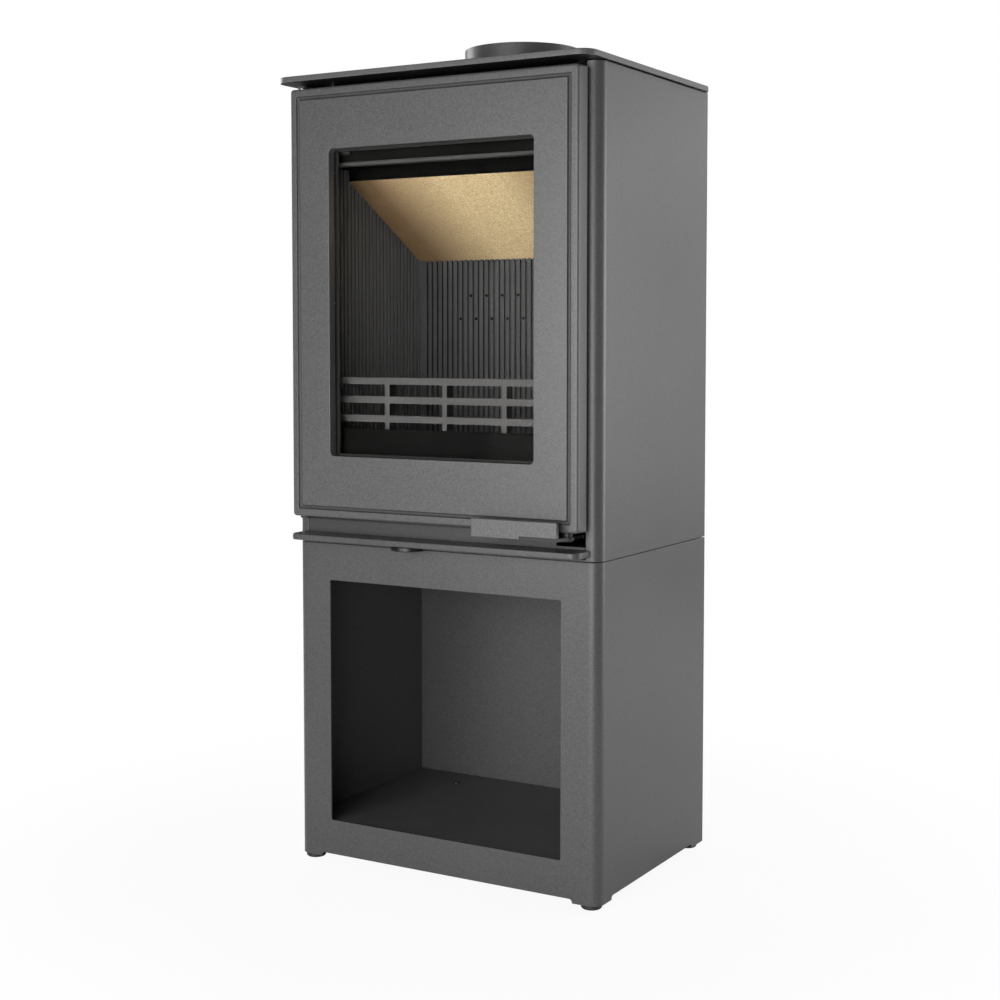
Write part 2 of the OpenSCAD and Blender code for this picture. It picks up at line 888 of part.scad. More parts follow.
module door_bore(x, v, z, h)
    at(x, v, z) cylinder(r = bore_r, h = h);

module groove_2d() {
    x = door_x - rim_w;
    z = [door_z + rim_w, door_top - rim_w];
    difference() {
        box_2d([-x, x], z);
        box_2d([-x + groove_w, x - groove_w], [z[0] + groove_w, z[1] - groove_w]);
    }
}

module rope_2d(grow) {
    difference() {
        box_2d([-rope_x - rope_w - grow, rope_x + rope_w + grow],
               [rope_z - rope_w - grow, rope_top + rope_w + grow]);
        box_2d([-rope_x + grow, rope_x - grow], [rope_z + grow, rope_top - grow]);
    }
}

rope_bed = 5;

module door_frame() color("dimgray")
    difference() {
        slab(door_x, [door_face, door_back], [door_z, door_top]);
        front_outline([door_face - 1, door_back + 1])
            rounded_2d([-window_x, window_x], [window_z, window_top], window_r);
        front_outline([door_face - 1, door_face + groove_d]) groove_2d();
        slab(glass_x + pocket_play, [gasket_v, door_back + 1],
             [glass_z - pocket_play, glass_top + pocket_play]);
        front_outline([door_back - rope_bed, door_back + 1]) rope_2d(0.2);
        door_bore(hinge_x, hinge_v, door_top - pin_in - 1, pin_in + 2);
        door_bore(hinge_x, hinge_v, door_z - 1, pin_in + 2);
        door_bore(handle_x, handle_v, door_z - 1, pivot_in + 2);
    }

module door_glass() color("black", 0.4)
    slab(glass_x, [glass_v, glass_v + glass_t], [glass_z, glass_top]);

module glass_gasket() color("black")
    front_outline([gasket_v, glass_v])
        difference() {
            box_2d([-glass_x, glass_x], [glass_z, glass_top]);
            box_2d([-window_x - 1, window_x + 1], [window_z - 1, window_top + 1]);
        }

retainer_v = glass_v + glass_t;

module retainer_screw_places() {
    x = glass_x - retainer_w / 2;
    for (z = [glass_z + 40, (glass_z + glass_top) / 2, glass_top - 40])
        both_sides() at(x, retainer_v + retainer_t, z) rotate([-90, 0, 0]) children();
    for (z = [glass_z + retainer_w / 2, glass_top - retainer_w / 2])
        both_sides() at(70, retainer_v + retainer_t, z) rotate([-90, 0, 0]) children();
}

module glass_retainers() color("dimgray") {
    v = [retainer_v, retainer_v + retainer_t];
    cut = glass_x - retainer_w - 0.5;
    difference() {
        union() {
            both_sides()
                block([glass_x - retainer_w, glass_x], v, [glass_z, glass_top]);
            slab(cut, v, [glass_z, glass_z + retainer_w]);
            slab(cut, v, [glass_top - retainer_w, glass_top]);
        }
        retainer_screw_places() cylinder(r = 2.1, h = 20, center = true);
    }
}

module retainer_screws() color("silver")
    retainer_screw_places() pan_screw(4, 2, retainer_t - 0.2);

module door_rope() color("dimgray")
    front_outline([door_back - rope_bed, -0.4]) rope_2d(0);

// ---------------------------------------------------------------- handle

pivot_in = 22;

// Flat plate in front of the door, stepped where the arm lies under it
module handle_grip() color("gray")
    difference() {
        block([handle_x - grip_w, handle_x], [grip_v, grip_v + grip_t],
              [grip_z, grip_z + grip_h]);
        block([handle_x - arm_under, handle_x + 1], [grip_v - 1, grip_v + grip_t + 1],
              [grip_z - 1, arm_top]);
    }

// Flat bar from the grip back past the pivot to the latch nose
module handle_arm() color("gray")
    difference() {
        plan_outline([arm_z, arm_top]) {
            box_2d([handle_x - arm_under + fit, handle_x], [grip_v, grip_v + grip_t]);
            polygon([[handle_x - 26, grip_v + grip_t - eps], [handle_x, grip_v + grip_t - eps],
                     [handle_x + 7, handle_v], [handle_x - 8, handle_v]]);
            translate([handle_x, handle_v]) circle(8);
            box_2d([handle_x - arm_w / 2, handle_x + arm_w / 2], [handle_v, arm_back]);
            box_2d([handle_x, handle_x + nose_reach], [arm_back - nose_w, arm_back]);
        }
        at(handle_x, handle_v, arm_z - 1) cylinder(r = pin_r, h = arm_t + 2);
    }

module handle_pivot_pin() color("silver")
    at(handle_x, handle_v, arm_z - 1.5) {
        cylinder(r = pin_r + 2, h = 1.5);
        cylinder(r = pin_r, h = door_z + pivot_in - arm_z + 1.5);
    }

module pivot_spacer() color("silver")
    at(handle_x, handle_v, arm_top)
        difference() {
            cylinder(r = pin_r + 2.4, h = door_z - arm_top - 0.4);
            translate([0, 0, -1]) cylinder(r = pin_r, h = 20);
        }

// ---------------------------------------------------------------- air control

blade_x = [-air_travel - inlet_w / 2 - 5, inlet_w / 2 + 10];

// Thin plate on the base plate; its window meets the inlet at the end of the travel
module air_slide_blade() color("silver")
    difference() {
        union() {
            block(blade_x, [blade_v0, blade_v1], [blade_z, blade_z + blade_t]);
            block([knob_x - 6, knob_x + 6], [-8, blade_v0 + eps], [blade_z, blade_z + blade_t]);
        }
        block(span(-air_travel, inlet_w), span(inlet_v, inlet_d), [blade_z - 1, blade_z + 5]);
    }

// Half-moon tab under the ash lip
module air_slide_knob() color("black") {
    z = [store_top + 0.6, store_top + 0.6 + knob_t];
    tip = lip_d - 2;
    depth = 22;
    r = (knob_w * knob_w / 4 + depth * depth) / (2 * depth);
    difference() {
        plan_outline(z)
            intersection() {
                translate([knob_x, -tip + r]) circle(r);
                box_2d([knob_x - knob_w, knob_x + knob_w], [-tip - 1, -tip + depth]);
            }
        block([knob_x - 6, knob_x + 6], [-tip + depth - 6, 0], [blade_z, z[1] + 1]);
    }
}

store_shell();
store_back_panel();
store_floor();
floor_rails();
floor_screws();
store_top_panel();
foot_brackets();
levelling_feet();
base_plate();
joining_bolts();
left_side_panel();
right_side_panel();
rear_heat_shield();
heat_shield_screws();
heat_shield_spacers();
firebox_left_wall();
firebox_right_wall();
firebox_back_wall();
firebox_roof();
firebox_front_frame();
hearth_plate();
air_box();
air_slide_guides();
rear_air_duct();
left_liner();
right_liner();
back_liner();
hearth_brick();
baffle_board();
throat_plate();
airwash_deflector();
deflector_brackets();
front_sill();
log_guard();
lower_front_panel();
ash_lip();
latch_keeper();
hinge_bracket_top();
hinge_bracket_bottom();
hinge_pins();
hinge_washer();
top_plate();
top_plate_spacers();
flue_collar();
flue_collar_screws();
door_frame();
door_glass();
glass_gasket();
glass_retainers();
retainer_screws();
door_rope();
handle_grip();
handle_arm();
handle_pivot_pin();
pivot_spacer();
air_slide_blade();
air_slide_knob();
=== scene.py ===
"""Looks of a wood burning stove on its log store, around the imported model. Metres, front towards -Y."""
import json
import math

import bmesh
import bpy
import numpy as np
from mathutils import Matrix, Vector


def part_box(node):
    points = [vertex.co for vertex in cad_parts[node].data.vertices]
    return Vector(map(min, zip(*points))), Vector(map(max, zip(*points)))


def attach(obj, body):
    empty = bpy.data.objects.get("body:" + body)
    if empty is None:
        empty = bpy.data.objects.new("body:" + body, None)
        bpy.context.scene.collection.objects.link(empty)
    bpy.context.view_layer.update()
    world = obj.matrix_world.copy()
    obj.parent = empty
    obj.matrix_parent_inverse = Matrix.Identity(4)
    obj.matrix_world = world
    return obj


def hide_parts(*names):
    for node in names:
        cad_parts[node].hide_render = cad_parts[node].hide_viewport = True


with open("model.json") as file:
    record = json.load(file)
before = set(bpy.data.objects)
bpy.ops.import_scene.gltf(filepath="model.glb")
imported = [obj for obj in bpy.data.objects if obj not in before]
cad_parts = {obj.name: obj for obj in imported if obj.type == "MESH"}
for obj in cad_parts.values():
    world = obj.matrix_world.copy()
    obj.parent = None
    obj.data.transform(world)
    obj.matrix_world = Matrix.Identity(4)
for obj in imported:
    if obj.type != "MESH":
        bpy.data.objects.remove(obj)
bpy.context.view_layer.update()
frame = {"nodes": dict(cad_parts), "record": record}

MM = 0.001
WHITE = (1.0, 1.0, 1.0, 1.0)
nodes = frame["nodes"]


def show(obj):
    """Puts an object in the scene."""
    bpy.context.scene.collection.objects.link(obj)


# ---------------------------------------------------------------- camera, light and floor

TILT_DOWN, TURN = 3.43, 30.23       # degrees
STOVE_MIDDLE = Vector((0.0, 0.0, 0.55))


def make_camera():
    """The view that shows the stove's front and its right-hand side."""
    data = bpy.data.cameras.new("camera")
    data.lens = 59.714
    data.sensor_width = 36.0
    data.shift_y = -0.06
    data.clip_end = 60.0
    camera = bpy.data.objects.new("camera", data)
    show(camera)
    camera.location = (1.07366, -1.83331, 0.66741)
    camera.rotation_euler = (math.radians(90 - TILT_DOWN), 0.0, math.radians(TURN))
    bpy.context.scene.camera = camera


def softbox(name, azimuth, elevation, distance, size, power):
    """A square lamp aimed at the stove's middle; azimuth 0 is the front, 90 the right-hand side."""
    data = bpy.data.lights.new(name, "AREA")
    data.shape = "RECTANGLE"
    data.size, data.size_y = size, size
    data.energy = power
    lamp = bpy.data.objects.new(name, data)
    show(lamp)
    a, e = math.radians(azimuth), math.radians(elevation)
    away = Vector((math.sin(a) * math.cos(e), -math.cos(a) * math.cos(e), math.sin(e)))
    lamp.location = STOVE_MIDDLE + away * distance
    lamp.rotation_euler = (-away).to_track_quat("-Z", "Y").to_euler()
    lamp.visible_camera = False


class Wiring:
    """Adds nodes to a tree. A socket given as an input is linked, anything else becomes its value."""

    def __init__(self, tree):
        self.tree = tree

    def add(self, kind, inputs=None, **settings):
        made = self.tree.nodes.new(kind)
        for name, value in settings.items():
            setattr(made, name, value)
        for name, value in (inputs or {}).items():
            target = made.inputs[name]
            if isinstance(value, bpy.types.NodeSocket):
                self.tree.links.new(value, target)
            else:
                target.default_value = value
        return made

    def place(self):
        return self.add("ShaderNodeTexCoord").outputs["Object"]

    def place_along(self, axis):
        return self.add("ShaderNodeSeparateXYZ", {0: self.place()}).outputs[axis]

    def facing(self, axis):
        """How far the surface faces along an axis, from -1 to 1."""
        normal = self.add("ShaderNodeNewGeometry").outputs["Normal"]
        return self.add("ShaderNodeSeparateXYZ", {0: normal}).outputs[axis]

    def noise(self, place, scale, detail=2.0, rough=0.5):
        return self.add("ShaderNodeTexNoise", {"Vector": place, "Scale": scale, "Detail": detail,
                                               "Roughness": rough}).outputs[0]

    def math(self, operation, a, b=0.0, clamp=False):
        return self.add("ShaderNodeMath", {0: a, 1: b}, operation=operation,
                        use_clamp=clamp).outputs[0]

    def remap(self, value, low, high, to_low=0.0, to_high=1.0, kind="LINEAR"):
        return self.add("ShaderNodeMapRange", {"Value": value, "From Min": low, "From Max": high,
                                               "To Min": to_low, "To Max": to_high},
                        interpolation_type=kind).outputs[0]

    def mix(self, share, a, b, mode="MIX"):
        return self.add("ShaderNodeMix", {0: share, 6: a, 7: b}, data_type="RGBA",
                        blend_type=mode).outputs[2]

    def stretch(self, place, scale):
        return self.add("ShaderNodeMapping", {"Vector": place, "Scale": scale}).outputs[0]

    def tinted(self, colour, value):
        """A colour made lighter or darker by a value."""
        return self.add("ShaderNodeVectorMath", {0: colour, "Scale": value},
                        operation="SCALE").outputs[0]


def blank(owner):
    """The wiring of a material or world whose nodes have been cleared."""
    owner.use_nodes = True
    owner.node_tree.nodes.clear()
    return Wiring(owner.node_tree)


def seen_directly(w):
    """1 for what the camera sees, straight or through glass; 0 for light that reaches a surface."""
    path = w.add("ShaderNodeLightPath").outputs
    bounced = w.math("ADD", path["Diffuse Depth"], path["Glossy Depth"])
    through = w.math("MULTIPLY", path["Is Transmission Ray"], w.math("LESS_THAN", bounced, 0.5))
    return w.math("MAXIMUM", path["Is Camera Ray"], through)


def make_world():
    """A white surround that gives the stove hardly any light of its own."""
    world = bpy.data.worlds.new("studio")
    bpy.context.scene.world = world
    w = blank(world)
    room = w.add("ShaderNodeBackground", {"Color": WHITE, "Strength": 0.02})
    paper = w.add("ShaderNodeBackground", {"Color": WHITE, "Strength": 1.0})
    both = w.add("ShaderNodeMixShader", {0: seen_directly(w), 1: room.outputs[0],
                                         2: paper.outputs[0]})
    w.add("ShaderNodeOutputWorld", {"Surface": both.outputs[0]})


def make_floor():
    """A plain pale floor that fades into the surround."""
    radius, drop = 9.0, 0.4 * MM
    fade_from, fade_to, near_share = 0.35, 0.9, 0.93
    mesh = bpy.data.meshes.new("studio_floor")
    bm = bmesh.new()
    bmesh.ops.create_circle(bm, cap_ends=True, segments=96, radius=radius)
    bm.to_mesh(mesh)
    bm.free()
    floor = bpy.data.objects.new("studio_floor", mesh)
    floor.location.z = -drop
    show(floor)
    paint = bpy.data.materials.new("pale floor")
    w = blank(paint)
    place = w.place()
    far = w.add("ShaderNodeVectorMath", {0: place}, operation="LENGTH").outputs["Value"]
    fade = w.remap(far, fade_from, fade_to, near_share, 1.0, "SMOOTHSTEP")
    grain = w.noise(place, 30.0)
    ground = w.add("ShaderNodeBsdfPrincipled", {
        "Base Color": w.mix(grain, (0.80, 0.80, 0.80, 1.0), (0.84, 0.84, 0.84, 1.0)),
        "Roughness": 0.6})
    glow = w.add("ShaderNodeEmission", {"Color": WHITE, "Strength": 1.0})
    both = w.add("ShaderNodeMixShader", {0: w.math("MULTIPLY", fade, seen_directly(w)),
                                         1: ground.outputs[0], 2: glow.outputs[0]})
    w.add("ShaderNodeOutputMaterial", {"Surface": both.outputs[0]})
    mesh.materials.append(paint)


make_camera()
make_world()
make_floor()
bpy.context.scene.view_settings.view_transform = "Standard"
BIG, SMALL = 1.1, 0.8
# name, azimuth and elevation in degrees, distance and size in metres, power in watts
LAMPS = [
    ("softbox_front_left", -15, 0, 2.5, BIG, 11.5),
    ("softbox_front_right", 15, 0, 2.5, BIG, 25.0),
    ("softbox_front_near", -5, 8, 1.5, SMALL, 8.5),
    ("softbox_side", 125, 4, 2.5, BIG, 29.0),
    ("softbox_side_high", 140, 45, 2.5, BIG, 11.0),
    ("softbox_back_high", 160, 25, 2.5, BIG, 4.0),
    ("softbox_back_low", 160, 4, 2.5, BIG, 3.5),
    ("softbox_left", -100, 12, 2.5, BIG, 24.0),
    ("softbox_back_left", -155, 20, 2.5, BIG, 22.0),
]
for lamp in LAMPS:
    softbox(*lamp)


# ---------------------------------------------------------------- shared effects

def effect(name, inputs, outputs):
    """Starts a shader node group and gives its wiring, its inputs and a way to set its outputs."""
    tree = bpy.data.node_groups.new(name, "ShaderNodeTree")
    for label, kind, value in inputs:
        made = tree.interface.new_socket(label, in_out="INPUT", socket_type="NodeSocket" + kind)
        made.default_value = value
    for label, kind in outputs:
        tree.interface.new_socket(label, in_out="OUTPUT", socket_type="NodeSocket" + kind)
    w = Wiring(tree)
    given = w.add("NodeGroupInput").outputs
    result = w.add("NodeGroupOutput")

    def give(label, socket):
        tree.links.new(socket, result.inputs[label])

    return w, given, give, tree


def make_stipple():
    """Powder paint: fine pits and grains, with a slow drift of tone over the sheet."""
    w, given, give, tree = effect(
        "paint stipple",
        [("Colour", "Color", (0.07, 0.07, 0.07, 1.0)), ("Grain Size", "Float", 1.1),
         ("Tone Spread", "Float", 0.2), ("Roughness", "Float", 0.45),
         ("Roughness Spread", "Float", 0.15)],
        [("Colour", "Color"), ("Roughness", "Float"), ("Height", "Float")])
    place = w.place()
    per_metre = w.math("DIVIDE", 1000.0, given["Grain Size"])
    fine = w.noise(place, per_metre, 2.0, 0.6)
    middle = w.noise(place, w.math("MULTIPLY", per_metre, 0.37), 2.0, 0.5)
    drift = w.noise(place, 4.0, 3.0, 0.5)
    spread = given["Tone Spread"]
    tone = w.math("ADD", w.math("MULTIPLY", w.remap(fine, 0.3, 0.7, -0.8, 0.8), spread),
                  w.math("MULTIPLY", w.remap(middle, 0.3, 0.7, -0.2, 0.2), spread))
    tone = w.math("ADD", tone, w.remap(drift, 0.3, 0.7, 0.95, 1.05))
    give("Colour", w.tinted(given["Colour"], tone))
    rough = w.math("MULTIPLY", w.math("SUBTRACT", w.math("ADD", middle, drift), 1.0),
                   given["Roughness Spread"])
    give("Roughness", w.math("ADD", given["Roughness"], rough, clamp=True))
    give("Height", w.math("ADD", w.math("MULTIPLY", fine, 0.7), w.math("MULTIPLY", middle, 0.3)))
    return tree


def make_cast_skin():
    """The sandy skin of cast iron: rounded grains, low swellings and a few small pits."""
    w, given, give, tree = effect(
        "cast skin",
        [("Colour", "Color", (0.05, 0.05, 0.05, 1.0)), ("Grain Size", "Float", 2.0),
         ("Tone Spread", "Float", 0.3), ("Roughness", "Float", 0.6)],
        [("Colour", "Color"), ("Roughness", "Float"), ("Height", "Float")])
    place = w.place()
    per_metre = w.math("DIVIDE", 1000.0, given["Grain Size"])
    cells = w.add("ShaderNodeTexVoronoi", {"Vector": place, "Scale": per_metre},
                  feature="SMOOTH_F1").outputs["Distance"]
    swell = w.noise(place, w.math("MULTIPLY", per_metre, 0.12), 3.0, 0.55)
    fine = w.noise(place, w.math("MULTIPLY", per_metre, 2.2), 2.0, 0.6)
    pits = w.remap(w.noise(place, w.math("MULTIPLY", per_metre, 0.5), 1.0, 0.5), 0.68, 0.8)
    contrast = 1.8
    tone = w.math("MULTIPLY", w.math("SUBTRACT", w.math("ADD", swell, fine), 1.0),
                  given["Tone Spread"])
    tone = w.math("MULTIPLY", tone, contrast)
    give("Colour", w.tinted(given["Colour"], w.math("ADD", tone, 1.0)))
    give("Roughness", w.math("ADD", given["Roughness"], w.remap(swell, 0.3, 0.7, -0.08, 0.08),
                             clamp=True))
    grains = w.math("SUBTRACT", w.remap(cells, 0.0, 0.7, 1.0, 0.0), w.math("MULTIPLY", pits, 0.8))
    give("Height", w.math("ADD", w.math("MULTIPLY", grains, 0.5),
                          w.math("ADD", w.math("MULTIPLY", swell, 0.6),
                                 w.math("MULTIPLY", fine, 0.25))))
    return tree


def make_soot():
    """Where smoke has darkened a surface: soft clouds with a ragged edge."""
    w, given, give, tree = effect(
        "soot veil",
        [("Amount", "Float", 0.5), ("Cloud Size", "Float", 0.12)], [("Mask", "Float")])
    place = w.place()
    clouds = w.noise(place, w.math("DIVIDE", 1.0, given["Cloud Size"]), 5.0, 0.6)
    low = w.math("SUBTRACT", 0.75, w.math("MULTIPLY", given["Amount"], 0.5))
    give("Mask", w.remap(clouds, low, w.math("ADD", low, 0.22), kind="SMOOTHSTEP"))
    return tree


def make_dust():
    """Fine dust that settles on whatever faces up, in drifts."""
    w, given, give, tree = effect(
        "settled dust",
        [("Amount", "Float", 0.4), ("Drift Size", "Float", 0.04)], [("Mask", "Float")])
    facing = w.facing("Z")
    place = w.place()
    drifts = w.noise(place, w.math("DIVIDE", 1.0, given["Drift Size"]), 4.0, 0.65)
    specks = w.noise(place, 900.0, 1.0, 0.5)
    shape = w.math("MULTIPLY", w.remap(drifts, 0.35, 0.75), w.remap(specks, 0.3, 0.7, 0.6, 1.0))
    up = w.remap(facing, 0.6, 0.95, kind="SMOOTHSTEP")
    give("Mask", w.math("MULTIPLY", w.math("MULTIPLY", up, shape), given["Amount"]))
    return tree


def make_wipes():
    """Faint rubs and wipe marks that change only the gloss."""
    w, given, give, tree = effect(
        "wipe marks",
        [("Roughness", "Float", 0.4), ("Amount", "Float", 0.06)], [("Roughness", "Float")])
    place = w.place()
    wipes = w.noise(w.stretch(place, (30.0, 30.0, 7.0)), 1.0, 4.0, 0.6)
    rubs = w.noise(w.stretch(place, (260.0, 260.0, 12.0)), 1.0, 2.0, 0.5)
    change = w.math("MULTIPLY", w.math("SUBTRACT", w.math("ADD", wipes, rubs), 1.0),
                    given["Amount"])
    give("Roughness", w.math("ADD", given["Roughness"], w.math("MULTIPLY", change, 2.0),
                             clamp=True))
    return tree


STIPPLE = make_stipple()
CAST_SKIN = make_cast_skin()
SOOT = make_soot()
DUST = make_dust()
WIPES = make_wipes()


# ---------------------------------------------------------------- materials

def grey(value, warmth=0.0):
    """A grey; warmth moves it from blue towards red."""
    return (value * (1.0 + warmth), value, value * (1.0 - warmth), 1.0)


def material(name, surface, **constants):
    """A Principled material; surface(w) gives its varying inputs, constants stay on the shader."""
    made = bpy.data.materials.new(name)
    w = blank(made)
    varying = surface(w)
    height = varying.pop("Height", None)
    if height is not None:
        socket, distance = height
        varying["Normal"] = w.add("ShaderNodeBump", {"Strength": 1.0, "Distance": distance,
                                                     "Height": socket}).outputs[0]
    shader = w.add("ShaderNodeBsdfPrincipled", {**varying, **constants})
    w.add("ShaderNodeOutputMaterial", {"Surface": shader.outputs[0]})
    return made


def use(w, tree, **inputs):
    """Places a shared effect in a material; an underscore stands for the space in an input's name."""
    named = {name.replace("_", " "): value for name, value in inputs.items()}
    return w.add("ShaderNodeGroup", named, node_tree=tree).outputs


def painted(name, tone, rough=0.39, grain=1.5, spread=0.30, dust=0.12, depth=0.09, warmth=0.0,
            underside_shade=1.0, shadow_above=None, shine=0.5):
    """Stippled heat-proof paint on steel or iron.

    Depth is the stipple's in millimetres. The underside share darkens the faces that look down as
    painted shade, and what lies higher than the shadow level is darkened nearly to black, a painted
    shadow.
    """
    def surface(w):
        coat = use(w, STIPPLE, Colour=grey(tone, warmth), Grain_Size=grain, Tone_Spread=spread,
                   Roughness=rough, Roughness_Spread=0.16)
        wiped = use(w, WIPES, Roughness=coat["Roughness"], Amount=0.015)["Roughness"]
        settled = use(w, DUST, Amount=dust, Drift_Size=0.05)["Mask"]
        colour = w.mix(settled, coat["Colour"], grey(0.20, 0.04))
        if underside_shade < 1.0:
            # painted shade: the faces that look down are darkened
            shade = w.remap(w.facing("Z"), -0.95, -0.7, underside_shade, 1.0, "SMOOTHSTEP")
            colour = w.tinted(colour, shade)
        if shadow_above is not None:
            # painted shadow: what lies higher than the level, just under the door, is darkened nearly to
            # black
            shade = w.remap(w.place_along("Z"), shadow_above - 3 * MM, shadow_above, 1.0, 0.2,
                            "SMOOTHSTEP")
            colour = w.tinted(colour, shade)
        return {"Base Color": colour,
                "Roughness": w.math("ADD", wiped, w.math("MULTIPLY", settled, 0.3), clamp=True),
                "Height": (coat["Height"], depth * MM)}
    return material(name, surface, **{"Specular IOR Level": shine})


def cast(name, tone, rough=0.6, grain=2.0, spread=0.3, soot=0.3, dust=0.2, depth=0.15,
         soot_tone=0.012, warmth=0.02, sides_in_shade=False):
    """Cast iron that has seen some fires; the last option darkens faces not looking front, a painted
    shade.
    """
    def surface(w):
        skin = use(w, CAST_SKIN, Colour=grey(tone, warmth), Grain_Size=grain, Tone_Spread=spread,
                   Roughness=rough)
        sooty = use(w, SOOT, Amount=soot, Cloud_Size=0.10)["Mask"]
        ash = use(w, DUST, Amount=dust, Drift_Size=0.03)["Mask"]
        sooty = w.math("MULTIPLY", sooty, 0.6)
        if sides_in_shade:
            # painted shade: the faces that do not look to the front are darkened towards the soot colour
            inside = w.remap(w.facing("Y"), -0.85, -0.35, 0.0, 0.9, "SMOOTHSTEP")
            sooty = w.math("MAXIMUM", sooty, inside)
        colour = w.mix(sooty, skin["Colour"], grey(soot_tone, 0.05))
        return {"Base Color": w.mix(ash, colour, grey(0.26, 0.05)),
                "Roughness": w.math("ADD", skin["Roughness"], w.math("MULTIPLY", sooty, 0.15),
                                    clamp=True),
                "Height": (skin["Height"], depth * MM)}
    return material(name, surface)


def fluted(name, tone, axis, face):
    """A cast liner whose flute floors are darkened nearly to black as painted shade, with soot clouds.
    Flutes lie beyond face, along axis.
    """
    def surface(w):
        skin = use(w, CAST_SKIN, Colour=grey(tone, -0.05), Grain_Size=1.5, Tone_Spread=0.25,
                   Roughness=0.55)
        at = w.place_along(axis)
        if axis == "X":
            at = w.math("ABSOLUTE", at)
        # painted shade: the flute floors, beyond face, are darkened
        deep = w.remap(at, face + 0.25 * MM, face + 1.3 * MM, kind="SMOOTHSTEP")
        sooty = use(w, SOOT, Amount=0.25, Cloud_Size=0.10)["Mask"]
        # painted shade in the flutes together with real soot
        dark = w.math("MAXIMUM", deep, w.math("MULTIPLY", sooty, 0.35))
        return {"Base Color": w.mix(w.math("MULTIPLY", dark, 0.80), skin["Colour"], grey(0.010)),
                "Roughness": w.math("ADD", skin["Roughness"], w.math("MULTIPLY", dark, 0.3),
                                    clamp=True),
                "Height": (skin["Height"], 0.12 * MM)}
    return material(name, surface, **{"Specular IOR Level": 0.3})


def smoked(name, tone=0.0045, shine=0.05, grey_below=None):
    """Steel smoked matt black; what lies lower than the given level is grey."""
    def surface(w):
        coat = use(w, STIPPLE, Colour=grey(tone), Grain_Size=1.4, Tone_Spread=0.5,
                   Roughness=0.8, Roughness_Spread=0.2)
        sooty = use(w, SOOT, Amount=0.5, Cloud_Size=0.07)["Mask"]
        colour = w.mix(w.math("MULTIPLY", sooty, 0.6), coat["Colour"], grey(tone * 0.5))
        if grey_below is not None:
            grey_band = w.remap(w.place_along("Z"), grey_below + 0.4 * MM, grey_below,
                            kind="SMOOTHSTEP")
            colour = w.mix(grey_band, colour, grey(0.060))
        return {"Base Color": colour, "Roughness": coat["Roughness"],
                "Height": (coat["Height"], 0.05 * MM)}
    return material(name, surface, **{"Specular IOR Level": shine})


def vermiculite():
    """Pressed vermiculite board: golden flakes, pale binder, small dark pits and scorch, browned towards
    its sides as painted shade.
    """
    def surface(w):
        place = w.place()
        flat = w.stretch(place, (1.0, 1.0, 1.6))
        flakes = w.add("ShaderNodeTexVoronoi", {"Vector": flat, "Scale": 620.0})
        shade = w.add("ShaderNodeSeparateColor", {0: flakes.outputs["Color"]}).outputs[0]
        grain = w.noise(place, 700.0, 3.0, 0.7)
        cloud = w.noise(place, 9.0, 4.0, 0.6)
        colour = w.mix(w.remap(shade, 0.15, 0.9), (0.54, 0.41, 0.21, 1.0), (0.76, 0.60, 0.35, 1.0))
        colour = w.mix(w.remap(grain, 0.58, 0.75, 0.0, 0.7), colour, (0.93, 0.80, 0.56, 1.0))
        colour = w.mix(w.remap(shade, 0.10, 0.02, 0.0, 0.5), colour, (0.34, 0.23, 0.11, 1.0))
        scorch = use(w, SOOT, Amount=0.25, Cloud_Size=0.16)["Mask"]
        out = w.math("ABSOLUTE", w.add("ShaderNodeSeparateXYZ", {0: place}).outputs["X"])
        # painted shade: the board darkens towards its sides, in a dark brown
        board_side_shade = w.remap(w.math("ADD", out, w.math("MULTIPLY", cloud, 0.03)), 0.050, 0.175)
        scorch_and_shade = w.math("ADD", w.math("MULTIPLY", scorch, 0.15),
                         w.math("MULTIPLY", board_side_shade, 1.15), clamp=True)
        colour = w.mix(scorch_and_shade, colour, (0.150, 0.080, 0.034, 1.0))
        colour = w.mix(w.remap(cloud, 0.3, 0.7, 0.0, 0.18), colour, (0.60, 0.45, 0.26, 1.0))
        relief = w.math("ADD", w.math("MULTIPLY", shade, 0.5), w.math("MULTIPLY", grain, 0.6))
        return {"Base Color": colour, "Roughness": w.remap(shade, 0.0, 1.0, 0.75, 0.95),
                "Height": (relief, 0.35 * MM)}
    return material("vermiculite board", surface)


def bright_steel():
    """Zinc-plated steel: mottled spangle and fine turning lines."""
    def surface(w):
        place = w.place()
        spangle = w.add("ShaderNodeTexVoronoi", {"Vector": place, "Scale": 380.0}).outputs["Color"]
        shade = w.add("ShaderNodeSeparateColor", {0: spangle}).outputs[0]
        lines = w.noise(w.stretch(place, (300.0, 300.0, 4000.0)), 1.0, 2.0, 0.5)
        stain = use(w, SOOT, Amount=0.2, Cloud_Size=0.02)["Mask"]
        colour = w.mix(shade, grey(0.42, 0.02), grey(0.56, 0.0))
        colour = w.mix(w.math("MULTIPLY", stain, 0.4), colour, grey(0.20, 0.08))
        return {"Base Color": colour, "Roughness": w.remap(lines, 0.3, 0.7, 0.26, 0.46),
                "Height": (lines, 0.02 * MM)}
    return material("zinc plated steel", surface, Metallic=1.0)


def rope_fibre():
    """Braided glass fibre, grey-black, each strand catching the light along its length."""
    def surface(w):
        place = w.place()
        fibres = w.noise(w.stretch(place, (1500.0, 1500.0, 1500.0)), 1.0, 3.0, 0.7)
        clumps = w.noise(place, 260.0, 2.0, 0.5)
        soot = use(w, SOOT, Amount=0.45, Cloud_Size=0.05)["Mask"]
        colour = w.mix(w.remap(clumps, 0.3, 0.7), grey(0.035, 0.02), grey(0.11, 0.03))
        colour = w.mix(w.math("MULTIPLY", soot, 0.5), colour, grey(0.015, 0.0))
        return {"Base Color": colour, "Roughness": w.remap(fibres, 0.3, 0.7, 0.7, 0.95),
                "Height": (w.math("ADD", fibres, w.math("MULTIPLY", clumps, 0.6)), 0.2 * MM)}
    return material("sealing rope", surface)


